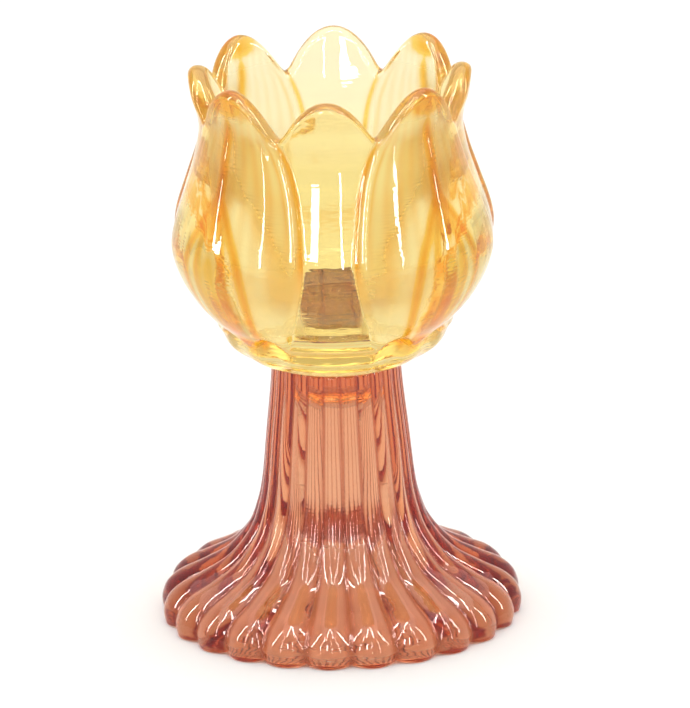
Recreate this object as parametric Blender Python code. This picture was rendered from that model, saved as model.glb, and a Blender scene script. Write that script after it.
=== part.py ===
"""Two-tone pressed-glass tealight holder: a tulip cup bonded onto a fluted, hollow foot.

Metres, +Z up. The origin is at the centre of the face the foot stands on, and one of the
four narrow petals faces -Y. Outlines are written in millimetres and scaled by MM.
"""
import math

import bmesh
import bpy
from mathutils import Vector

MM = 0.001

# Whole holder
TOTAL_HEIGHT = 150.0 * MM       # standing face to the wide petals' tips
STEM_TOP_RADIUS = 16.9 * MM     # crest of the ribs under the cup
BOND_HEIGHT = 70.0 * MM         # where the cup is glued to the stem
BOND_THICKNESS = 0.3 * MM
BOND_RADIUS = 15.6 * MM
CONTACT_GAP = 0.3 * MM          # left between touching pieces

# Foot
RIB_COUNT = 24
RIB_TURN = math.radians(-2.7)   # ribs against the cup's petals
RIB_STEPS = 6                   # facets across one rib
STEM_RIB_DEPTH = 0.75 * MM
FOOT_RIB_DEPTH = 2.3 * MM
RIB_DEPTH_RADII = (18.0 * MM, 42.0 * MM)    # where the depth starts and stops growing
STEM_SHOULDER = 1.2 * MM        # rounding of the stem's top edge
FOOT_ROWS = 16
HOLLOW_ROWS = 7
SHARP_ANGLE = math.radians(40.0)            # edges sharper than this are not smoothed
SLOPE_PROBE = 0.002             # how far along an outline its slope is read

# Crest of the ribs, (radius, height) from the stem's top edge down to the standing face
FOOT_OUTLINE = (
    (16.9, 68.5), (17.4, 62.0), (18.7, 50.0), (20.1, 36.7), (21.7, 29.5), (24.2, 23.5),
    (29.5, 17.3), (36.5, 13.3), (42.4, 10.4), (45.8, 7.4), (47.1, 4.4), (47.3, 2.2), (46.8, 0.0),
)
# Inside of the hollow, from the standing ring up to the closed end in the stem
HOLLOW_OUTLINE = (
    (41.0, 0.0), (38.4, 3.0), (32.5, 6.4), (25.5, 10.2), (19.6, 16.5), (15.6, 25.0),
    (12.8, 36.0), (10.6, 49.0), (9.2, 57.5), (7.0, 61.0), (3.5, 62.0),
)

# Cup
PETAL_PAIRS = 4                 # wide petals on the diagonals, narrow ones between them
WIDE_TIP_HEIGHT = TOTAL_HEIGHT
NARROW_TIP_DROP = 0.7 * MM
NOTCH_HEIGHT = 138.6 * MM
NOTCH_ROUNDING = 0.12           # softens the V between two petals
STEP_WIDTH = math.radians(4.2)  # the wide petal's edge, seen from the axis
STEP_DEPTH = 1.6 * MM           # height of the step between the petals
WIDE_PETAL_CROWN = 2.0 * MM     # extra bulge along a wide petal's middle
PETAL_SWELL = 1.4 * MM          # how far a wide petal's middle stands out past the outline
STEP_RUN_OUT = 7.0 * MM         # the step fades in over this much above the collar
STEP_RUN_IN = 11.0 * MM         # and out again over this much, ending above the notches
STEP_OVERRUN = 3.7 * MM         # how far above the notches it ends
RIM_ROUNDING = 2.0 * MM
COLLAR_HEIGHT = 79.8 * MM       # top of the round collar under the petals
ARCH_RISE = 3.2 * MM            # the petals' lower edge arches up beside each wide petal's foot
ARCH_SPAN = (math.radians(20.0), math.radians(44.0))
PETAL_OVERHANG = 0.9 * MM       # the petals' lower edge stands out over the collar
FLOOR_HEIGHT = 84.0 * MM
FLOOR_RADIUS = 12.0 * MM
FLOOR_CORNER = 1.5 * MM

# Outer face of the petals without their steps, (radius, height)
PETAL_OUTLINE = (
    (30.4, 79.0), (31.8, 82.5), (34.7, 86.0), (37.9, 90.0), (41.2, 96.0), (43.0, 102.5),
    (42.3, 109.0), (39.8, 117.0), (37.3, 125.0), (35.9, 132.0), (35.4, 138.0), (36.3, 143.5),
    (36.9, 150.0),
)
# Round collar from the petals down to the flat underside, (radius, height)
COLLAR_OUTLINE = ((29.9, 79.8), (28.2, 76.0), (24.0, 72.9), (19.8, 71.1), (16.4, 70.6))
# Inside of the cup behind the middle of a narrow petal: a cone, then a steeper taper
WELL_OUTLINE = (
    (12.0, 83.0), (13.6, 86.0), (21.4, 97.6), (23.4, 103.0), (24.4, 112.0), (25.3, 118.5),
    (26.5, 126.0), (27.9, 134.0), (29.5, 141.0), (31.2, 146.0), (32.2, 150.0),
)
# and behind the middle of a wide petal, where it is hollowed out further
WIDE_WELL_OUTLINE = (
    (12.0, 83.0), (13.6, 86.0), (21.4, 97.6), (23.4, 103.0), (26.0, 110.0), (29.0, 118.5),
    (30.6, 126.0), (31.0, 134.0), (31.3, 141.0), (31.8, 146.0), (32.3, 150.0),
)
WELL_FLUTE = (math.radians(6.0), math.radians(44.0))    # one outline turns into the other
# Half the width of a narrow petal, (degrees about the axis, height)
NARROW_PETAL_WIDTH = (
    (19.4, 79.0), (18.4, 84.0), (13.2, 93.0), (9.4, 104.0), (9.4, 112.0), (11.2, 121.0),
    (14.2, 129.0), (18.6, 135.5), (22.5, 140.0), (22.5, 150.0),
)
NARROW_COLUMNS = 3              # facets over half a narrow petal
STEP_COLUMNS = 2
WIDE_COLUMNS = 4                # facets over half a wide petal
WALL_ROWS = 14
WELL_ROWS = 9
RIM_ROWS = 4
COLLAR_ROWS = 5
CORNER_ROWS = 3
HALVINGS = 30                   # when a height is looked up on an outline


def smooth_point(outline, place):
    """The point at place (0 to 1) on a smooth curve through an outline, in metres."""
    spans = len(outline) - 1
    index = min(int(place * spans), spans - 1)
    part = place * spans - index
    near = [outline[min(max(index + step, 0), spans)] for step in (-1, 0, 1, 2)]
    before, start, end, after = (Vector(point) for point in near)
    curve = (start * 2.0 + (end - before) * part
             + (before * 2.0 - start * 5.0 + end * 4.0 - after) * part ** 2
             + (start * 3.0 - before - end * 3.0 + after) * part ** 3)
    return curve * (0.5 * MM)


def value_at_height(outline, height):
    """The first number of an outline, in its own unit, read at a height in metres."""
    low, high = 0.0, 1.0
    for _ in range(HALVINGS):
        middle = (low + high) / 2.0
        if smooth_point(outline, middle).y < height:
            low = middle
        else:
            high = middle
    return smooth_point(outline, low).x / MM


def ease(value):
    """Smooth rise from 0 to 1 as value goes from 0 to 1."""
    value = min(max(value, 0.0), 1.0)
    return value * value * (3.0 - 2.0 * value)


def ring(angles, radius_and_height):
    """One closed row of points; radius_and_height gives both for an angle."""
    points = []
    for angle in angles:
        radius, height = radius_and_height(angle)
        points.append(Vector((radius * math.cos(angle), radius * math.sin(angle), height)))
    return points


def closed_body(name, top_centre, rows, base_centre):
    """Skin the rows, which run from the upper centre over the outside to the lower one."""
    shape = bmesh.new()
    loops = [[shape.verts.new(point) for point in row] for row in rows]
    top = shape.verts.new((0.0, 0.0, top_centre))
    base = shape.verts.new((0.0, 0.0, base_centre))
    count = len(rows[0])
    for column in range(count):
        after = (column + 1) % count
        shape.faces.new((top, loops[0][column], loops[0][after]))
        for upper, lower in zip(loops, loops[1:]):
            shape.faces.new((upper[column], lower[column], lower[after], upper[after]))
        shape.faces.new((base, loops[-1][after], loops[-1][column]))
    mesh = bpy.data.meshes.new(name)
    shape.to_mesh(mesh)
    shape.free()
    return mesh


def glass(name, colour, roughness):
    """A clear Principled material in the piece's colour."""
    material = bpy.data.materials.new(name)
    material.use_nodes = True
    shader = material.node_tree.nodes["Principled BSDF"]
    shader.inputs["Base Color"].default_value = (*colour, 1.0)
    shader.inputs["Roughness"].default_value = roughness
    shader.inputs["Metallic"].default_value = 0.0
    shader.inputs["IOR"].default_value = 1.5
    shader.inputs["Transmission Weight"].default_value = 1.0
    material.diffuse_color = (*colour, 1.0)
    return material


def place_piece(name, mesh, material, height, parent):
    """Link a piece at its height above the standing face, shaded smooth."""
    mesh.materials.append(material)
    mesh.shade_smooth()
    mesh.set_sharp_from_angle(angle=SHARP_ANGLE)
    piece = bpy.data.objects.new(name, mesh)
    piece.location = (0.0, 0.0, height)
    piece.parent = parent
    bpy.context.scene.collection.objects.link(piece)
    return piece


# ---------------------------------------------------------------- fluted foot

def rib_fullness(angle):
    """1 on a rib's crest and 0 in the valley between two ribs."""
    pitch = math.tau / RIB_COUNT
    across = ((angle - RIB_TURN) / pitch + 0.5) % 1.0 - 0.5
    return 1.0 - (2.0 * across) ** 2


def rib_depth(radius):
    """Ribs are shallow on the stem and deep out on the foot."""
    start, stop = RIB_DEPTH_RADII
    share = ease((radius - start) / (stop - start))
    return STEM_RIB_DEPTH + (FOOT_RIB_DEPTH - STEM_RIB_DEPTH) * share


def foot_row(angles, place):
    """A row of the ribbed outside; valleys are sunk square to the outline."""
    here = smooth_point(FOOT_OUTLINE, place)
    along = (smooth_point(FOOT_OUTLINE, min(place + SLOPE_PROBE, 1.0))
             - smooth_point(FOOT_OUTLINE, max(place - SLOPE_PROBE, 0.0))).normalized()
    inward = Vector((along.y, -along.x))
    depth = rib_depth(here.x)

    def place_at(angle):
        sunk = here + inward * depth * (1.0 - rib_fullness(angle))
        return sunk.x, max(sunk.y, 0.0)

    return ring(angles, place_at)


def make_foot():
    steps = RIB_COUNT * RIB_STEPS
    angles = [RIB_TURN + math.tau * index / steps for index in range(steps)]
    top = BOND_HEIGHT - CONTACT_GAP
    flat_radius = STEM_TOP_RADIUS - STEM_SHOULDER
    rows = [ring(angles, lambda angle: (flat_radius, top))]
    rows += [foot_row(angles, index / FOOT_ROWS) for index in range(FOOT_ROWS + 1)]
    for index in range(HOLLOW_ROWS + 1):
        inner = smooth_point(HOLLOW_OUTLINE, index / HOLLOW_ROWS)
        rows.append(ring(angles, lambda angle: (inner.x, inner.y)))
    return closed_body("fluted_foot", top, rows, HOLLOW_OUTLINE[-1][1] * MM)


# ---------------------------------------------------------------- tulip cup

def petal_columns(height):
    """Angles round the cup whose columns follow the wide petals' edges at a height."""
    edge = math.radians(value_at_height(NARROW_PETAL_WIDTH, height))
    middle = math.pi / PETAL_PAIRS
    step_end = min(edge + STEP_WIDTH, edge + (middle - edge) / 3.0)
    half = [edge * index / NARROW_COLUMNS for index in range(NARROW_COLUMNS)]
    half += [edge + (step_end - edge) * index / STEP_COLUMNS for index in range(STEP_COLUMNS)]
    half += [step_end + (middle - step_end) * index / WIDE_COLUMNS for index in range(WIDE_COLUMNS)]
    sector = half + [middle] + [2.0 * middle - angle for angle in reversed(half[1:])]
    front = -math.pi / 2.0
    return [front + 2.0 * middle * turn + angle for turn in range(PETAL_PAIRS) for angle in sector]


def off_narrow(angle):
    """Angle away from the middle of the nearest narrow petal, 0 to 45 degrees."""
    pitch = math.tau / PETAL_PAIRS
    return abs((angle / pitch + 0.5) % 1.0 - 0.5) * pitch


def rim_height(angle):
    """Top of the scalloped rim: eight rounded arches with softened notches between."""
    across = off_narrow(angle) / (math.pi / PETAL_PAIRS)
    tip = WIDE_TIP_HEIGHT - NARROW_TIP_DROP * (1.0 - ease(across))
    from_notch = math.hypot(2.0 * across - 1.0, NOTCH_ROUNDING) - NOTCH_ROUNDING
    from_notch /= math.hypot(1.0, NOTCH_ROUNDING) - NOTCH_ROUNDING
    arch = 1.0 - (1.0 - from_notch) ** 2
    return NOTCH_HEIGHT + (tip - NOTCH_HEIGHT) * arch


def petal_foot_height(angle):
    """The lower edge of the petals, with an arch on each side of a wide petal's foot."""
    start, stop = ARCH_SPAN
    share = min(max((off_narrow(angle) - start) / (stop - start), 0.0), 1.0)
    return COLLAR_HEIGHT + ARCH_RISE * math.sin(math.pi * share) ** 2


def petal_radius(angle, height):
    """Outer face: wide petals stand proud of the narrow ones by a rounded step."""
    edge = math.radians(value_at_height(NARROW_PETAL_WIDTH, height))
    off = off_narrow(angle)
    middle = math.pi / PETAL_PAIRS
    proud = ease((off - edge) / STEP_WIDTH)
    crown = math.cos(math.pi / 2.0 * (middle - off) / max(middle - edge, STEP_WIDTH))
    lift = PETAL_SWELL + (STEP_DEPTH + PETAL_SWELL) * (proud - 1.0)
    lift += WIDE_PETAL_CROWN * (crown - 1.0) * proud
    above_collar = ease((height - COLLAR_HEIGHT) / STEP_RUN_OUT)
    below_tips = ease((NOTCH_HEIGHT + STEP_OVERRUN - height) / STEP_RUN_IN)
    return value_at_height(PETAL_OUTLINE, height) * MM + lift * above_collar * below_tips


def well_radius(angle, height):
    """Inside face: hollowed out behind each wide petal."""
    start, stop = WELL_FLUTE
    share = ease((off_narrow(angle) - start) / (stop - start))
    narrow = value_at_height(WELL_OUTLINE, height)
    wide = value_at_height(WIDE_WELL_OUTLINE, height)
    return (narrow + (wide - narrow) * share) * MM


def wall_height(angle, share):
    """Height of a wall row: share runs from 0 at the crease to 1 under the rim's rounding."""
    foot = petal_foot_height(angle) + PETAL_OVERHANG
    return foot + (rim_height(angle) - RIM_ROUNDING - foot) * share


def make_cup():
    bottom = BOND_HEIGHT + BOND_THICKNESS + CONTACT_GAP
    rim_columns = petal_columns(NOTCH_HEIGHT + RIM_ROUNDING)
    rows = []
    corner_radius = FLOOR_RADIUS + FLOOR_CORNER
    for index in range(CORNER_ROWS + 1):
        turn = math.pi / 2.0 * index / CORNER_ROWS
        radius = FLOOR_RADIUS + FLOOR_CORNER * math.sin(turn)
        height = FLOOR_HEIGHT + FLOOR_CORNER * (1.0 - math.cos(turn))
        rows.append(ring(rim_columns, lambda angle: (radius, height)))
    low = FLOOR_HEIGHT + FLOOR_CORNER
    for index in range(1, WELL_ROWS + 1):
        share = index / WELL_ROWS

        def well_at(angle):
            height = low + (rim_height(angle) - RIM_ROUNDING - low) * share
            return max(well_radius(angle, height), corner_radius), height

        rows.append(ring(rim_columns, well_at))
    for index in range(1, RIM_ROWS):
        turn = math.pi * index / RIM_ROWS

        def rim_at(angle):
            height = rim_height(angle) - RIM_ROUNDING
            inner = well_radius(angle, height)
            outer = petal_radius(angle, height)
            radius = (inner + outer) / 2.0 - (outer - inner) / 2.0 * math.cos(turn)
            return radius, height + RIM_ROUNDING * math.sin(turn)

        rows.append(ring(rim_columns, rim_at))
    for index in range(WALL_ROWS + 1):
        share = 1.0 - index / WALL_ROWS
        columns = petal_columns(wall_height(0.0, share))
        if index == 0:
            columns = rim_columns

        def wall_at(angle):
            height = wall_height(angle, share)
            return petal_radius(angle, height), height

        rows.append(ring(columns, wall_at))
    base_columns = petal_columns(COLLAR_HEIGHT)
    for index in range(COLLAR_ROWS + 1):
        outline = smooth_point(COLLAR_OUTLINE, index / COLLAR_ROWS)
        lift = (outline.y - bottom) / (COLLAR_HEIGHT - bottom)

        def collar_at(angle):
            arch = petal_foot_height(angle) - COLLAR_HEIGHT
            return outline.x, bottom + (COLLAR_HEIGHT - bottom) * lift + arch * lift ** 2

        rows.append(ring(base_columns, collar_at))
    for row in rows:
        for point in row:
            point.z -= bottom
    return closed_body("tulip_cup", FLOOR_HEIGHT - bottom, rows, 0.0), bottom


# ---------------------------------------------------------------- bond

def make_bond():
    shape = bmesh.new()
    bmesh.ops.create_cone(shape, cap_ends=True, segments=48, radius1=BOND_RADIUS,
                          radius2=BOND_RADIUS, depth=BOND_THICKNESS)
    mesh = bpy.data.meshes.new("bond_layer")
    shape.to_mesh(mesh)
    shape.free()
    return mesh


def main():
    for old in list(bpy.data.objects):
        bpy.data.objects.remove(old, do_unlink=True)
    holder = bpy.data.objects.new("tealight_holder", None)
    bpy.context.scene.collection.objects.link(holder)
    yellow = glass("yellow_glass", (0.93, 0.76, 0.32), 0.03)
    rose = glass("rose_glass", (0.72, 0.36, 0.27), 0.03)
    clear = glass("clear_adhesive", (0.92, 0.90, 0.86), 0.12)
    place_piece("fluted_foot", make_foot(), rose, 0.0, holder)
    cup_mesh, cup_bottom = make_cup()
    place_piece("tulip_cup", cup_mesh, yellow, cup_bottom, holder)
    place_piece("bond_layer", make_bond(), clear, BOND_HEIGHT + BOND_THICKNESS / 2.0, holder)
    bpy.context.view_layer.update()


main()
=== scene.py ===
"""Looks of the two-tone pressed-glass tealight holder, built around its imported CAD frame.

Metres, +Z up, one narrow petal towards -Y. Outlines are in millimetres and scaled by MM.
"""

import math

import bpy
import numpy as np
from mathutils import Matrix, Vector


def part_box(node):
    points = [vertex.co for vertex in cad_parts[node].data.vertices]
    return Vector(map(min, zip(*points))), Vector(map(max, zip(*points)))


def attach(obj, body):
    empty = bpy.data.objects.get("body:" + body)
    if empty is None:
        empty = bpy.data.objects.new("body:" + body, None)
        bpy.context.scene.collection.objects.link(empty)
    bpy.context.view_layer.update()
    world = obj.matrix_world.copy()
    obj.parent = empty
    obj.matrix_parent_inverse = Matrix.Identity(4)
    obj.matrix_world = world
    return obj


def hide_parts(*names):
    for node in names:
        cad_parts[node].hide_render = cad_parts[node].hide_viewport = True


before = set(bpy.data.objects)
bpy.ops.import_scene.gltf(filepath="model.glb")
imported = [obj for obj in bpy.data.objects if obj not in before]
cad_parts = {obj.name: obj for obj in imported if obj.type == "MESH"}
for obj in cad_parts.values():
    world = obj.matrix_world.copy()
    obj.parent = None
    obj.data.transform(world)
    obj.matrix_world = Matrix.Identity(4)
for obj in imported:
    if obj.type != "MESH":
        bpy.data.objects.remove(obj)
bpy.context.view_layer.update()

MM = 0.001

# ---- places and sizes read from the frame
CUP_HIGH = Vector(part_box("tulip_cup")[1])
BOND_LOW, BOND_HIGH = (Vector(corner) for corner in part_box("bond_layer"))
TIP_HEIGHT = CUP_HIGH.z / MM
BOND_HEIGHT = BOND_LOW.z / MM
BOND_THICKNESS = (BOND_HIGH.z - BOND_LOW.z) / MM
BOND_RADIUS = (BOND_HIGH.x - BOND_LOW.x) / 2.0 / MM
WETTING = 0.03                  # the adhesive bites this far into both glass faces

# ---- foot, in millimetres
RIB_COUNT = 24
RIB_COLUMNS = 18                # mesh columns across one rib
RIB_TURN = -2.7                 # degrees, ribs against the cup's petals
STEM_RIB_DEPTH = 0.75
FOOT_RIB_DEPTH = 2.3
RIB_DEPTH_RADII = (18.0, 42.0)
FOOT_OUTLINE = (                # radius and height down the ribs' crests
    (16.9, 68.5), (17.4, 62.0), (18.7, 50.0), (20.1, 36.7), (21.7, 29.5), (24.2, 23.5),
    (29.5, 17.3), (36.5, 13.3), (42.4, 10.4), (45.8, 7.4), (47.1, 4.4), (47.3, 2.2), (46.8, 0.0),
)
HOLLOW_OUTLINE = (              # radius and height up the inside
    (41.0, 0.0), (38.4, 3.0), (32.5, 6.4), (25.5, 10.2), (19.6, 16.5), (15.6, 25.0),
    (12.8, 36.0), (10.6, 49.0), (9.2, 57.5), (7.0, 61.0), (3.5, 62.0),
)
STEM_SHOULDER = 1.2
TOP_ROWS = 8
SHOULDER_ROWS = 6
RIB_ROWS = 110
HOLLOW_ROWS = 60
# painted shade in the valleys between the ribs, and deeper rose out on the flare
VALLEY_SHADE = 0.95
VALLEY_FULLNESS = 0.32          # how full a rib may be and still count as valley
FLARE_DEEPENING = 0.25
FLARE_DEEPENING_RADII = (21.0, 30.0)

# ---- bond, in millimetres
BOND_COLUMNS = 96
BOND_BULGE = 0.08

# ---- cup, in millimetres and degrees
PETAL_PITCH = 90.0              # from one narrow petal to the next
NARROW_TIP_DROP = 0.7
NOTCH_HEIGHT = 138.6
NOTCH_ROUNDING = 0.12
STEP_WIDTH = 4.2
STEP_DEPTH = 1.6
STEP_FILLET = 0.10
STEP_OVERRUN = 3.7              # how far above the notches the step still fades out
STEP_RUN_OUT = 11.0
STEP_RUN_IN = 7.0
SHOULDER_SHARPNESS = 2.2
WIDE_PETAL_CROWN = 2.0
PETAL_SWELL = 1.4                # outwards, so the narrow petals stay where they are
RIDGE_HEIGHT = 0.45             # soft keel down the upper half of a wide petal
RIDGE_WIDTH = 3.2
RIDGE_HEIGHTS = ((108.0, 18.0), (147.0, 8.0))   # where it starts and ends, and over what length
VEIN_COUNT = 5.0                # shallow veins from a wide petal's step to its middle
VEIN_DEPTH = 0.018
SECOND_VEINS = (0.6, 1.63)      # depth and count of a second set, against the first
VEIN_SIDE_GAP = (0.12, 0.2)     # share of the half petal beside the step that stays smooth
VEIN_HEIGHTS = ((84.0, 8.0), (143.0, 6.0))
RIM_ROUNDING = 2.0
COLLAR_HEIGHT = 79.8
ARCH_RISE = 3.2
ARCH_SPAN = (20.0, 44.0)
PETAL_OVERHANG = 0.9
FLOOR_HEIGHT = 84.0
FLOOR_RADIUS = 12.0
FLOOR_CORNER = 1.5
PETAL_OUTLINE = (               # radius and height up the middle of a narrow petal
    (30.4, 79.0), (31.8, 82.5), (34.7, 86.0), (37.9, 90.0), (41.2, 96.0), (43.0, 102.5),
    (42.3, 109.0), (39.8, 117.0), (37.3, 125.0), (35.9, 132.0), (35.4, 138.0), (36.3, 143.5),
    (36.9, 150.0),
)
COLLAR_OUTLINE = ((29.9, 79.8), (28.2, 76.0), (24.0, 72.9), (19.8, 71.1), (16.4, 70.6))
WELL_OUTLINE = (                # the well behind the middle of a narrow petal
    (12.0, 83.0), (13.6, 86.0), (21.4, 97.6), (23.4, 103.0), (24.4, 112.0), (25.3, 118.5),
    (26.5, 126.0), (27.9, 134.0), (29.5, 141.0), (31.2, 146.0), (32.2, 150.0),
)
WIDE_WELL_OUTLINE = (           # the well behind the middle of a wide petal
    (12.0, 83.0), (13.6, 86.0), (21.4, 97.6), (23.4, 103.0), (26.0, 110.0), (29.0, 118.5),
    (30.6, 126.0), (31.0, 134.0), (31.3, 141.0), (31.8, 146.0), (32.3, 150.0),
)
WELL_FLUTE = (6.0, 44.0)        # degrees off a narrow petal over which one well becomes the other
WELL_HAZE = 0.35                # roughness
HAZE_SIDES = (16.0, 24.0)       # degrees off a narrow petal over which the haze sets in
HAZE_HEIGHTS = ((86.0, 4.0), (146.0, 6.0))
NARROW_PETAL_WIDTH = (          # degrees from a narrow petal's middle to its edge, height
    (19.4, 79.0), (18.4, 84.0), (13.2, 93.0), (9.4, 104.0), (9.4, 112.0), (11.2, 121.0),
    (14.2, 129.0), (18.6, 135.5), (22.5, 140.0), (22.5, 150.0),
)

# ---- painted amber shade on the yellow glass, standing in for light bent and reflected inside the thick glass
AMBER_LEAF = (                  # half width of the leaf figure at a wide petal's middle: degrees, height
    (9.0, 80.0), (11.5, 86.0), (13.5, 94.0), (13.0, 104.0), (7.5, 114.0), (2.0, 121.0),
    (0.0, 125.0), (0.0, 150.0),
)
LEAF_CORE = 0.5                 # the inner leaf against the outer one
# strength, width in degrees, lowest and highest point, length of the fade at each end
MIDRIB = (1.00, 2.5, 112.0, 142.0, 6.0)
LEAF_EDGE = (0.95, 1.8, 80.0, 122.0, 4.0)
LEAF_INNER_EDGE = (0.70, 1.3, 82.0, 117.0, 5.0)
LEAF_STALK = (0.80, 3.4, 80.0, 96.0, 6.0)
# painted shade along the step's concave corner and beside it
STEP_EDGE = (0.55, 1.2, 104.0, 141.0, 14.0)
BESIDE_STEP = (0.35, 0.9, 108.0, 139.0, 14.0)
LEAF_FILL = (0.40, 82.0, 108.0, 8.0)            # strength, then as above
STRIPES = (0.17, 100.0, 143.0, 16.0)
STRIPE_SIDE_GAP = (0.15, 0.15)
# painted darker amber at the thick rounded tips of the wide petals
TIP_SHADE = (0.95, 8.0, 142.5, 3.0)             # strength, width, start, length of the fade
# painted shade in the crease along the petals' foot
ARCH_SHADE = (0.30, 0.60, 1.2)                  # all round, added on the arches, width in height

# ---- glass: two surface tints it drifts between, colour and density of its depth, and the colour its painted shade and deepening darken towards
YELLOW_GLASS = {
    "tint": (0.935, 0.87, 0.60), "deep_tint": (0.925, 0.855, 0.56),
    "absorption": (0.985, 0.80, 0.03), "density": 13.0, "roughness": 0.02,
    "painted_shade_and_deepening": (0.86, 0.26, 0.002),
}
ROSE_GLASS = {
    "tint": (0.95, 0.89, 0.85), "deep_tint": (0.94, 0.87, 0.82),
    "absorption": (0.88, 0.42, 0.02), "density": 92.0, "roughness": 0.02,
    "painted_shade_and_deepening": (0.44, 0.15, 0.08),
}
CLEAR_ADHESIVE = {
    "tint": (1.0, 1.0, 1.0), "deep_tint": (0.99, 0.98, 0.96),
    "absorption": (0.9, 0.88, 0.8), "density": 5.0, "roughness": 0.05,
}
GLASS_IOR = 1.5
HALF_SHADE_AT = 0.45            # painted shade amount that shows as half the full shade colour
TINT_DRIFT_SCALE = 28.0
ROUGHNESS_SCALE = 420.0
WAVES = {
    "stretch": (1.0, 1.0, 0.16), "scale": 260.0, "detail": 1.0, "strength": 0.25, "distance": 0.00012,
}
RIPPLES = {
    "stretch": (0.35, 0.35, 1.6), "scale": 900.0, "detail": 0.0, "strength": 0.6, "distance": 0.00004,
}

# ---- room and lights
ROOM_STRENGTH = 0.91
# brightness of the room by direction, from the camera's side (0) to the far side (1)
ROOM_STOPS = ((0.0, 0.85), (0.30, 0.78), (0.50, 0.86), (0.62, 0.96), (0.72, 1.0), (1.0, 1.0))
SOFTBOX_SIZE = 1.2
SOFTBOX_POWER = 6.5
SOFTBOX_PLACE = (0.0, 0.15, 1.1)
FLOOR_WASH_POWER = 3.6
FLOOR_WASH_PLACE = (0.0, -0.8, 0.9)
FLOOR_WASH_TIP = math.radians(-40.0)            # forwards, onto the floor in front of the holder
STRIPS = (                      # name, azimuth and elevation in degrees, width, length, watts
    ("strip_front_left", -12.0, 19.0, 0.09, 0.30, 2.4),
    ("strip_front_right", 8.0, 26.0, 0.018, 0.76, 1.8),
    ("strip_step_left", -40.0, 31.0, 0.03, 0.94, 2.5),
    ("strip_step_right", 40.0, 31.0, 0.03, 0.94, 2.5),
    ("strip_high_left", -28.0, 70.0, 0.03, 0.50, 2.5),
    ("strip_high_right", 28.0, 70.0, 0.03, 0.50, 2.5),
    ("strip_left", -80.0, 31.0, 0.05, 0.94, 6.0),
    ("strip_right", 80.0, 31.0, 0.05, 0.94, 6.0),
)
FLOOR_REACH = 6.0
FLOOR_DROP = 0.0002             # keeps the floor clear of the foot's standing face
LIGHT_BOUNCES = 32
GLOSSY_BOUNCES = 16

# ---- camera
CAMERA_TARGET = Vector((0.0, 0.0, 0.075))
CAMERA_DISTANCE = 2.5
CAMERA_ELEVATION = math.radians(18.8)
CAMERA_AZIMUTH = math.radians(1.9)
CAMERA_ROLL = math.radians(1.3)
IMAGE_SIZE = (690, 708)
PIXELS_PER_METRE = 3840.0       # at the target
TARGET_IN_IMAGE = (335.7, 337.0)
SENSOR = 36.0


# ================================================================ shape helpers

def curve_points(outline, places):
    """Points at places (0 to 1) on a smooth curve through an outline."""
    knots = np.array(outline, float)
    spans = len(knots) - 1
    places = np.asarray(places, float)
    index = np.minimum((places * spans).astype(int), spans - 1)
    part = (places * spans - index)[..., None]
    before = knots[np.clip(index - 1, 0, spans)]
    start = knots[index]
    end = knots[index + 1]
    after = knots[np.clip(index + 2, 0, spans)]
    return 0.5 * (2.0 * start + (end - before) * part
                  + (2.0 * before - 5.0 * start + 4.0 * end - after) * part ** 2
                  + (3.0 * start - before - 3.0 * end + after) * part ** 3)


def at_height(outline, height):
    """The first number of an outline, read at a height."""
    curve = curve_points(outline, np.linspace(0.0, 1.0, 800))
    if curve[0, 1] > curve[-1, 1]:
        curve = curve[::-1]
    return np.interp(height, curve[:, 1], curve[:, 0])


def ease(value):
    value = np.clip(value, 0.0, 1.0)
    return value * value * (3.0 - 2.0 * value)


def ring_points(radius, degrees, height):
    """Points on the surface; degrees run from the front (-Y) towards +X."""
    turn = np.radians(degrees)
    radius, height = np.broadcast_arrays(radius, height)
    return np.stack([radius * np.sin(turn), -radius * np.cos(turn), height + 0.0 * turn], -1) * MM


def skin(name, rows, top_centre, base_centre):
    """A closed body skinned over rows of points, with a pole at each end."""
    rows = np.asarray(rows)
    row_count, column_count = rows.shape[:2]
    points = np.concatenate([rows.reshape(-1, 3), [(0, 0, top_centre * MM)], [(0, 0, base_centre * MM)]])
    top, base = row_count * column_count, row_count * column_count + 1
    columns = np.arange(column_count)
    after = (columns + 1) % column_count
    faces = [(top, a, b) for a, b in zip(columns.tolist(), after.tolist())]
    for row in range(row_count - 1):
        upper, lower = row * column_count, (row + 1) * column_count
        quads = np.stack([upper + columns, lower + columns, lower + after, upper + after], -1)
        faces += [tuple(quad) for quad in quads.tolist()]
    last = (row_count - 1) * column_count
    faces += [(base, last + b, last + a) for a, b in zip(columns.tolist(), after.tolist())]
    mesh = bpy.data.meshes.new(name)
    mesh.from_pydata(points.tolist(), [], faces)
    mesh.validate()
    mesh.shade_smooth()
    piece = bpy.data.objects.new(name, mesh)
    bpy.context.scene.collection.objects.link(piece)
    return piece


def fade(value, edges):
    """1 between two soft edges, each given as (where, over what length)."""
    (start, run_in), (stop, run_out) = edges
    return ease((value - start) / run_in) * ease((stop - value) / run_out)


def vertex_places(piece):
    """Every vertex as degrees from the front, radius and height in millimetres."""
    points = np.empty(len(piece.data.vertices) * 3)
    piece.data.vertices.foreach_get("co", points)
    points = points.reshape(-1, 3)
    degrees = np.degrees(np.arctan2(points[:, 0], -points[:, 1]))
    return degrees, np.hypot(points[:, 0], points[:, 1]) / MM, points[:, 2] / MM


def paint(piece, name, amounts):
    """Stores one number per vertex for the materials: the amount of painted shade and deeper colour, and
    "haze" roughness, each under its own name.
    """
    attribute = piece.data.attributes.new(name, "FLOAT", "POINT")
    attribute.data.foreach_set("value", amounts)


# ================================================================ foot

def rib_fullness(degrees):
    """1 on a rib's crest, 0 in the valley beside it."""
    pitch = 360.0 / RIB_COUNT
    across = ((degrees - RIB_TURN) / pitch + 0.5) % 1.0 - 0.5
    return 1.0 - (2.0 * across) ** 2


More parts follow.
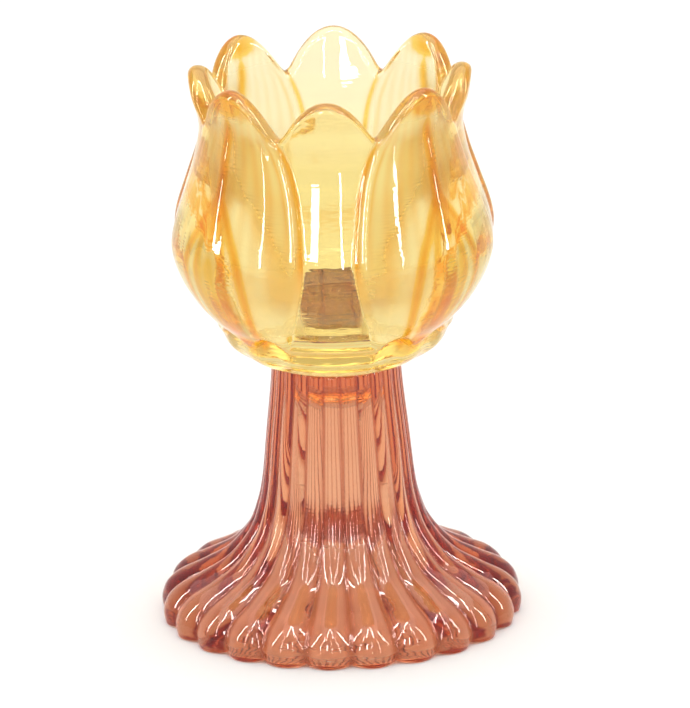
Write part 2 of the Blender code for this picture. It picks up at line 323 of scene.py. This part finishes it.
def make_foot():
    columns = RIB_COUNT * RIB_COLUMNS
    degrees = RIB_TURN + 360.0 * np.arange(columns) / columns
    sunk_share = 1.0 - rib_fullness(degrees)
    top = BOND_HEIGHT + WETTING
    shoulder_radius = FOOT_OUTLINE[0][0] - STEM_SHOULDER
    rows = [ring_points(shoulder_radius * share, degrees, top) for share in np.linspace(0.1, 1.0, TOP_ROWS)]
    for turn in np.linspace(0.0, math.pi / 2.0, SHOULDER_ROWS)[1:]:
        radius = shoulder_radius + STEM_SHOULDER * math.sin(turn)
        height = top - STEM_SHOULDER + STEM_SHOULDER * math.cos(turn)
        sunk = STEM_RIB_DEPTH * sunk_share * math.sin(turn)
        rows.append(ring_points(radius - sunk, degrees, height))
    outline = curve_points(FOOT_OUTLINE, np.linspace(0.0, 1.0, RIB_ROWS)[1:])
    along = np.gradient(outline, axis=0)
    along /= np.linalg.norm(along, axis=1)[:, None]
    start, stop = RIB_DEPTH_RADII
    deepening = ease((outline[:, 0] - start) / (stop - start))
    depth = STEM_RIB_DEPTH + (FOOT_RIB_DEPTH - STEM_RIB_DEPTH) * deepening
    for point, direction, deep in zip(outline, along, depth):
        radius = point[0] + direction[1] * deep * sunk_share
        height = np.maximum(point[1] - direction[0] * deep * sunk_share, 0.0)
        rows.append(ring_points(radius, degrees, height))
    for point in curve_points(HOLLOW_OUTLINE, np.linspace(0.0, 1.0, HOLLOW_ROWS)):
        rows.append(ring_points(point[0], degrees, point[1]))
    foot = skin("fluted_foot_glass", rows, top, HOLLOW_OUTLINE[-1][1])
    # painted shade in the valleys between the ribs, and deeper rose out on the flare
    paint(foot, "painted_shade_and_deepening", rose_amount(*vertex_places(foot)))
    return foot


def rose_amount(degrees, radius, height):
    """How strongly each point of the foot is darkened: painted shade in the valleys between ribs, and
    deeper rose out on the flare.
    """
    outside = ease((radius - at_height(HOLLOW_OUTLINE, height) - 1.0) / 1.5)
    valleys = np.exp(-(rib_fullness(degrees) / VALLEY_FULLNESS) ** 2)
    start, stop = FLARE_DEEPENING_RADII
    flare = FLARE_DEEPENING * ease((radius - start) / (stop - start))
    return np.clip(outside * (VALLEY_SHADE * valleys + flare), 0.0, 1.0)


# ================================================================ cup

def off_narrow(degrees):
    """Degrees to the middle of the nearest narrow petal, 0 to 45."""
    return np.abs((degrees / PETAL_PITCH + 0.5) % 1.0 - 0.5) * PETAL_PITCH


def rim_height(degrees):
    across = off_narrow(degrees) / (PETAL_PITCH / 2.0)
    tip = TIP_HEIGHT - NARROW_TIP_DROP * (1.0 - ease(across))
    from_notch = np.hypot(2.0 * across - 1.0, NOTCH_ROUNDING) - NOTCH_ROUNDING
    from_notch = from_notch / (np.hypot(1.0, NOTCH_ROUNDING) - NOTCH_ROUNDING)
    return NOTCH_HEIGHT + (tip - NOTCH_HEIGHT) * (1.0 - (1.0 - from_notch) ** 2)


def arch_share(degrees):
    """1 under the top of an arch in the petals' foot, 0 beside it."""
    start, stop = ARCH_SPAN
    share = np.clip((off_narrow(degrees) - start) / (stop - start), 0.0, 1.0)
    return np.sin(np.pi * share) ** 2


def petal_foot_height(degrees):
    return COLLAR_HEIGHT + ARCH_RISE * arch_share(degrees)


def petal_share(off, edge):
    """0 at a wide petal's edge, 1 at its middle."""
    return np.clip((off - edge) / np.maximum(PETAL_PITCH / 2.0 - edge, 1.0), 0.0, 1.0)


def petal_radius(degrees, height):
    """The cup's outside: wide petals step out over the narrow ones, crowned, keeled and veined."""
    edge = at_height(NARROW_PETAL_WIDTH, height)
    off = off_narrow(degrees)
    middle = PETAL_PITCH / 2.0
    across = (off - edge) / STEP_WIDTH
    filleted = (np.hypot(across, STEP_FILLET) + across) / 2.0
    proud = 1.0 - np.clip(1.0 - filleted, 0.0, 1.0) ** SHOULDER_SHARPNESS
    crown = np.cos(np.pi / 2.0 * (middle - off) / np.maximum(middle - edge, STEP_WIDTH))
    lift = (STEP_DEPTH + PETAL_SWELL) * (proud - 1.0) + WIDE_PETAL_CROWN * (crown - 1.0) * proud
    lift = lift + PETAL_SWELL
    above_collar = ease((height - COLLAR_HEIGHT) / STEP_RUN_IN)
    below_tips = ease((NOTCH_HEIGHT + STEP_OVERRUN - height) / STEP_RUN_OUT)
    ridge = RIDGE_HEIGHT * np.exp(-((middle - off) / RIDGE_WIDTH) ** 2)
    ridge = ridge * fade(height, RIDGE_HEIGHTS)
    share = petal_share(off, edge)
    second_depth, second_count = SECOND_VEINS
    veins = VEIN_DEPTH * (np.cos(2.0 * np.pi * VEIN_COUNT * share)
                          + second_depth * np.cos(2.0 * np.pi * second_count * VEIN_COUNT * share))
    side_gap, side_fade = VEIN_SIDE_GAP
    veins = veins * ease((share - side_gap) / side_fade) * fade(height, VEIN_HEIGHTS)
    return at_height(PETAL_OUTLINE, height) + lift * above_collar * below_tips + ridge + veins


def wall_height(degrees, share):
    """Height on the cup's outside, from the petals' foot (0) to the rim's rounding (1)."""
    foot = petal_foot_height(degrees) + PETAL_OVERHANG
    return foot + (rim_height(degrees) - RIM_ROUNDING - foot) * share


def well_radius(degrees, height):
    """The well's wall, which is fluted behind the wide petals."""
    start, stop = WELL_FLUTE
    wide = ease((off_narrow(degrees) - start) / (stop - start))
    narrow_well = at_height(WELL_OUTLINE, height)
    return narrow_well + (at_height(WIDE_WELL_OUTLINE, height) - narrow_well) * wide


def petal_columns(share):
    """Angles round the cup; the dense columns follow the wide petals' edges."""
    edge = 15.0
    for _ in range(12):
        edge = 0.5 * edge + 0.5 * float(at_height(NARROW_PETAL_WIDTH, wall_height(edge, share)))
    middle = PETAL_PITCH / 2.0
    low = edge - 1.0
    high = edge + STEP_WIDTH + 0.6
    half = np.concatenate([np.linspace(0.0, low, 13)[:-1], np.linspace(low, high, 17)[:-1],
                           np.linspace(high, middle, 30)])
    sector = np.concatenate([half, 2.0 * middle - half[-2:0:-1]])
    return np.concatenate([sector + PETAL_PITCH * turn for turn in range(4)])


def make_cup():
    bottom = BOND_HEIGHT + BOND_THICKNESS - WETTING
    rim_columns = petal_columns(1.0)
    rows = []
    for share in np.linspace(0.08, 0.97, 10):
        rows.append(ring_points(FLOOR_RADIUS * share, rim_columns, FLOOR_HEIGHT))
    for turn in np.linspace(0.0, math.pi / 2.0, 9):
        radius = FLOOR_RADIUS + FLOOR_CORNER * math.sin(turn)
        height = FLOOR_HEIGHT + FLOOR_CORNER * (1.0 - math.cos(turn))
        rows.append(ring_points(radius, rim_columns, height))
    low = FLOOR_HEIGHT + FLOOR_CORNER
    corner_radius = FLOOR_RADIUS + FLOOR_CORNER
    for share in np.linspace(0.0, 1.0, 36)[1:]:
        height = low + (rim_height(rim_columns) - RIM_ROUNDING - low) * share
        radius = np.maximum(well_radius(rim_columns, height), corner_radius)
        rows.append(ring_points(radius, rim_columns, height))
    height = rim_height(rim_columns) - RIM_ROUNDING
    inner = well_radius(rim_columns, height)
    outer = petal_radius(rim_columns, height)
    for turn in np.linspace(0.0, math.pi, 13)[1:-1]:
        radius = (inner + outer) / 2.0 - (outer - inner) / 2.0 * math.cos(turn)
        rows.append(ring_points(radius, rim_columns, height + RIM_ROUNDING * math.sin(turn)))
    for share in np.linspace(1.0, 0.0, 90):
        columns = petal_columns(share)
        height = wall_height(columns, share)
        rows.append(ring_points(petal_radius(columns, height), columns, height))
    columns = petal_columns(0.0)
    arch = petal_foot_height(columns) - COLLAR_HEIGHT
    for point in curve_points(COLLAR_OUTLINE, np.linspace(0.0, 1.0, 30)):
        lift = (point[1] - COLLAR_OUTLINE[-1][1]) / (COLLAR_HEIGHT - COLLAR_OUTLINE[-1][1])
        height = bottom + (COLLAR_HEIGHT - bottom) * lift + arch * lift ** 2
        rows.append(ring_points(point[0], columns, height))
    for share in (0.85, 0.6, 0.35, 0.12):
        rows.append(ring_points(COLLAR_OUTLINE[-1][0] * share, columns, bottom))
    cup = skin("tulip_cup_glass", rows, FLOOR_HEIGHT, bottom)
    places = vertex_places(cup)
    # painted amber shade standing in for light bent and reflected inside the thick glass
    paint(cup, "painted_shade_and_deepening", amber_amount(*places))
    paint(cup, "haze", well_haze(*places))
    return cup


def between(height, low, high, soft):
    """1 between two heights, with a soft end at each."""
    return ease((height - low) / soft + 0.5) * ease((high - height) / soft + 0.5)


def streak(distance, height, line):
    """A soft line along distance 0, with its strength, width, heights and fade as in MIDRIB."""
    strength, width, low, high, soft = line
    return strength * np.exp(-(distance / width) ** 2) * between(height, low, high, soft)


def amber_amount(degrees, radius, height):
    """How strongly each point of the cup is painted amber: painted shade standing in for light bent and
    reflected inside the thick glass, along midribs, leaf lines and tips, and in the creases.
    """
    off = off_narrow(degrees)
    from_middle = PETAL_PITCH / 2.0 - off
    leaf = at_height(AMBER_LEAF, height)
    edge = at_height(NARROW_PETAL_WIDTH, height)
    painted_shade_and_deepening = streak(from_middle, height, MIDRIB)
    painted_shade_and_deepening += streak(from_middle - leaf, height, LEAF_EDGE)
    painted_shade_and_deepening += streak(from_middle - LEAF_CORE * leaf, height, LEAF_INNER_EDGE)
    painted_shade_and_deepening += streak(from_middle, height, LEAF_STALK)
    painted_shade_and_deepening += streak(off - edge - STEP_WIDTH * 0.2, height, STEP_EDGE)
    painted_shade_and_deepening += streak(off - edge - STEP_WIDTH * 1.3, height, BESIDE_STEP)
    strength, low, high, soft = LEAF_FILL
    painted_shade_and_deepening += strength * ease((LEAF_CORE * leaf - from_middle) / 2.0) * between(height, low, high, soft)
    strength, low, high, soft = STRIPES
    share = petal_share(off, edge)
    stripes = 0.5 + 0.5 * np.cos(2.0 * np.pi * (VEIN_COUNT + 1.0) * share)
    side_gap, side_fade = STRIPE_SIDE_GAP
    stripes = stripes * ease((share - side_gap) / side_fade)
    painted_shade_and_deepening += strength * stripes * between(height, low, high, soft)
    strength, width, start, length = TIP_SHADE
    painted_shade_and_deepening += strength * np.exp(-(from_middle / width) ** 2) * ease((height - start) / length)
    all_round, on_arches, width = ARCH_SHADE
    from_foot = height - petal_foot_height(degrees) - 0.2
    painted_shade_and_deepening += (all_round + on_arches * arch_share(degrees)) * np.exp(-(from_foot / width) ** 2)
    outside = ease((radius - well_radius(degrees, height) - 1.0) / 2.0)
    return np.clip(painted_shade_and_deepening, 0.0, 1.0) * outside


def well_haze(degrees, radius, height):
    """Roughness of the well's wall behind the wide petals, which softens what shows through it."""
    inside = ease((well_radius(degrees, height) + 0.6 - radius) / 0.4)
    start, stop = HAZE_SIDES
    wide = ease((off_narrow(degrees) - start) / (stop - start))
    return WELL_HAZE * inside * wide * fade(height, HAZE_HEIGHTS)


def make_bond():
    degrees = np.arange(BOND_COLUMNS) * 360.0 / BOND_COLUMNS
    low, high = BOND_HEIGHT, BOND_HEIGHT + BOND_THICKNESS
    rows = [ring_points(BOND_RADIUS * share, degrees, high) for share in (0.3, 0.6, 0.9, 1.0)]
    rows += [ring_points(BOND_RADIUS + BOND_BULGE, degrees, (low + high) / 2.0)]
    rows += [ring_points(BOND_RADIUS * share, degrees, low) for share in (1.0, 0.9, 0.6, 0.3)]
    return skin("bond_film", rows, high, low)


# ================================================================ materials

def glass_material(name, tint, deep_tint, absorption, density, roughness, painted_shade_and_deepening=None):
    """Clear coloured glass: depth colour by absorption, gently uneven pressed surface."""
    material = bpy.data.materials.new(name)
    material.use_nodes = True
    nodes, links = material.node_tree.nodes, material.node_tree.links
    shader = nodes["Principled BSDF"]
    shader.inputs["IOR"].default_value = GLASS_IOR
    shader.inputs["Transmission Weight"].default_value = 1.0
    place = nodes.new("ShaderNodeTexCoord").outputs["Object"]

    def noise(vector, scale, detail=2.0):
        texture = nodes.new("ShaderNodeTexNoise")
        texture.inputs["Scale"].default_value = scale
        texture.inputs["Detail"].default_value = detail
        links.new(vector, texture.inputs["Vector"])
        return texture.outputs["Fac"]

    def stored(attribute_name):
        attribute = nodes.new("ShaderNodeAttribute")
        attribute.attribute_name = attribute_name
        return attribute.outputs["Fac"]

    def unevenness(look, under=None):
        stretch = nodes.new("ShaderNodeMapping")
        stretch.inputs["Scale"].default_value = look["stretch"]
        links.new(place, stretch.inputs["Vector"])
        bump = nodes.new("ShaderNodeBump")
        bump.inputs["Strength"].default_value = look["strength"]
        bump.inputs["Distance"].default_value = look["distance"]
        links.new(noise(stretch.outputs["Vector"], look["scale"], look["detail"]), bump.inputs["Height"])
        if under is not None:
            links.new(under, bump.inputs["Normal"])
        return bump.outputs["Normal"]

    colour = nodes.new("ShaderNodeMix")
    colour.data_type = "RGBA"
    colour.inputs[6].default_value = (*tint, 1.0)
    colour.inputs[7].default_value = (*deep_tint, 1.0)
    links.new(noise(place, TINT_DRIFT_SCALE), colour.inputs["Factor"])
    surface_tint = colour.outputs[2]
    # painted shade: the stored amount darkens the surface colour towards the shade colour through a ramp
    if painted_shade_and_deepening is not None:
        depth = nodes.new("ShaderNodeValToRGB")
        stops = depth.color_ramp.elements
        stops[0].color = (1.0, 1.0, 1.0, 1.0)
        stops[1].color = (*painted_shade_and_deepening, 1.0)
        stops.new(HALF_SHADE_AT).color = (*(math.sqrt(channel) for channel in painted_shade_and_deepening), 1.0)
        shade_mix = nodes.new("ShaderNodeMix")
        shade_mix.data_type = "RGBA"
        shade_mix.blend_type = "MULTIPLY"
        shade_mix.inputs["Factor"].default_value = 1.0
        links.new(stored("painted_shade_and_deepening"), depth.inputs["Fac"])
        links.new(surface_tint, shade_mix.inputs[6])
        links.new(depth.outputs["Color"], shade_mix.inputs[7])
        surface_tint = shade_mix.outputs[2]
    links.new(surface_tint, shader.inputs["Base Color"])
    rough = nodes.new("ShaderNodeMapRange")
    rough.inputs["To Min"].default_value = 0.0
    rough.inputs["To Max"].default_value = roughness
    links.new(noise(place, ROUGHNESS_SCALE), rough.inputs["Value"])
    softened = nodes.new("ShaderNodeMath")
    softened.operation = "ADD"
    links.new(rough.outputs["Result"], softened.inputs[0])
    links.new(stored("haze"), softened.inputs[1])
    links.new(softened.outputs["Value"], shader.inputs["Roughness"])
    # the ripples run across the streaks of light and unsettle them
    links.new(unevenness(RIPPLES, unevenness(WAVES)), shader.inputs["Normal"])
    body = nodes.new("ShaderNodeVolumeAbsorption")
    body.inputs["Color"].default_value = (*absorption, 1.0)
    body.inputs["Density"].default_value = density
    links.new(body.outputs["Volume"], nodes["Material Output"].inputs["Volume"])
    return material


def floor_material():
    material = bpy.data.materials.new("pale_floor")
    material.use_nodes = True
    nodes, links = material.node_tree.nodes, material.node_tree.links
    shader = nodes["Principled BSDF"]
    shader.inputs["Roughness"].default_value = 0.9
    shader.inputs["Specular IOR Level"].default_value = 0.0
    noise = nodes.new("ShaderNodeTexNoise")
    noise.inputs["Scale"].default_value = 40.0
    ramp = nodes.new("ShaderNodeMapRange")
    ramp.inputs["To Min"].default_value = 0.955
    ramp.inputs["To Max"].default_value = 0.97
    links.new(noise.outputs["Fac"], ramp.inputs["Value"])
    links.new(ramp.outputs["Result"], shader.inputs["Base Color"])
    return material


# ================================================================ stage

def make_floor():
    mesh = bpy.data.meshes.new("floor")
    reach = FLOOR_REACH
    corners = [(-reach, -reach, 0), (reach, -reach, 0), (reach, reach, 0), (-reach, reach, 0)]
    mesh.from_pydata(corners, [], [(0, 1, 2, 3)])
    floor = bpy.data.objects.new("floor", mesh)
    floor.location.z = -FLOOR_DROP
    mesh.materials.append(floor_material())
    bpy.context.scene.collection.objects.link(floor)


def make_world():
    world = bpy.data.worlds.new("studio")
    bpy.context.scene.world = world
    world.use_nodes = True
    nodes, links = world.node_tree.nodes, world.node_tree.links
    background = nodes["Background"]
    place = nodes.new("ShaderNodeTexCoord")
    axes = nodes.new("ShaderNodeSeparateXYZ")
    links.new(place.outputs["Generated"], axes.inputs["Vector"])
    # brightness by how far a direction points to the back (+Y) of the room
    room = nodes.new("ShaderNodeValToRGB")
    ramp = room.color_ramp
    while len(ramp.elements) < len(ROOM_STOPS):
        ramp.elements.new(0.5)
    for element, (where, value) in zip(ramp.elements, ROOM_STOPS):
        element.position = where
        element.color = (value, value, value, 1.0)
    back = nodes.new("ShaderNodeMapRange")
    back.inputs["From Min"].default_value = -1.0
    links.new(axes.outputs["Y"], back.inputs["Value"])
    links.new(back.outputs["Result"], room.inputs["Fac"])
    links.new(room.outputs["Color"], background.inputs["Color"])
    background.inputs["Strength"].default_value = ROOM_STRENGTH


def strip_light(name, azimuth, elevation, width, length, power, distance=0.9):
    """A soft strip box aimed at the holder; azimuth 0 is the -Y side, + towards +X."""
    data = bpy.data.lights.new(name, "AREA")
    data.shape = "RECTANGLE"
    data.size, data.size_y = width, length
    data.energy = power
    light = bpy.data.objects.new(name, data)
    turn, lift = math.radians(azimuth), math.radians(elevation)
    away = Vector((math.sin(turn) * math.cos(lift), -math.cos(turn) * math.cos(lift), math.sin(lift)))
    light.location = CAMERA_TARGET + away * distance
    light.rotation_euler = away.to_track_quat("Z", "Y").to_euler()
    light.visible_camera = False
    light.visible_diffuse = False
    light.visible_transmission = False
    bpy.context.scene.collection.objects.link(light)


def make_lights():
    data = bpy.data.lights.new("softbox_overhead", "AREA")
    data.size = SOFTBOX_SIZE
    data.energy = SOFTBOX_POWER
    softbox = bpy.data.objects.new("softbox_overhead", data)
    softbox.location = SOFTBOX_PLACE
    wash = softbox.copy()
    wash.data = data.copy()
    wash.name = "floor_wash"
    wash.data.energy = FLOOR_WASH_POWER
    wash.location = FLOOR_WASH_PLACE
    wash.rotation_euler = (FLOOR_WASH_TIP, 0.0, 0.0)
    wash.visible_glossy = False
    wash.visible_transmission = False
    bpy.context.scene.collection.objects.link(wash)
    bpy.context.scene.collection.objects.link(softbox)
    for strip in STRIPS:
        strip_light(*strip)


def make_camera():
    data = bpy.data.cameras.new("camera")
    data.sensor_width = SENSOR
    data.lens = PIXELS_PER_METRE * CAMERA_DISTANCE * SENSOR / max(IMAGE_SIZE)
    data.clip_start, data.clip_end = 0.05, 50.0
    camera = bpy.data.objects.new("camera", data)
    back = Vector((math.sin(CAMERA_AZIMUTH) * math.cos(CAMERA_ELEVATION),
                   -math.cos(CAMERA_AZIMUTH) * math.cos(CAMERA_ELEVATION), math.sin(CAMERA_ELEVATION)))
    right = Vector((0.0, 0.0, 1.0)).cross(back).normalized()
    up = back.cross(right)
    # the aim point is where the picture's centre falls, so the target sits off centre
    turned_right = right * math.cos(CAMERA_ROLL) - up * math.sin(CAMERA_ROLL)
    turned_up = up * math.cos(CAMERA_ROLL) + right * math.sin(CAMERA_ROLL)
    off_x = (TARGET_IN_IMAGE[0] - IMAGE_SIZE[0] / 2.0) / PIXELS_PER_METRE
    off_y = (TARGET_IN_IMAGE[1] - IMAGE_SIZE[1] / 2.0) / PIXELS_PER_METRE
    aim = CAMERA_TARGET - turned_right * off_x + turned_up * off_y
    rotation = Matrix((turned_right, turned_up, back)).transposed().to_4x4()
    camera.matrix_world = Matrix.Translation(aim + back * CAMERA_DISTANCE) @ rotation
    bpy.context.scene.collection.objects.link(camera)
    bpy.context.scene.camera = camera


def main():
    scene = bpy.context.scene
    scene.view_settings.view_transform = "Standard"
    scene.cycles.max_bounces = LIGHT_BOUNCES
    scene.cycles.transmission_bounces = LIGHT_BOUNCES
    scene.cycles.glossy_bounces = GLOSSY_BOUNCES
    make_camera()
    make_world()
    make_floor()
    make_lights()
    yellow = glass_material("yellow_glass_look", **YELLOW_GLASS)
    rose = glass_material("rose_glass_look", **ROSE_GLASS)
    clear = glass_material("clear_bond_look", **CLEAR_ADHESIVE)
    for piece, node, slot, material in (
            (make_foot(), "fluted_foot", "rose_glass", rose),
            (make_cup(), "tulip_cup", "yellow_glass", yellow),
            (make_bond(), "bond_layer", "clear_adhesive", clear)):
        piece.data.materials.append(material)
        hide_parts(node)
        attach(piece, "root")


main()
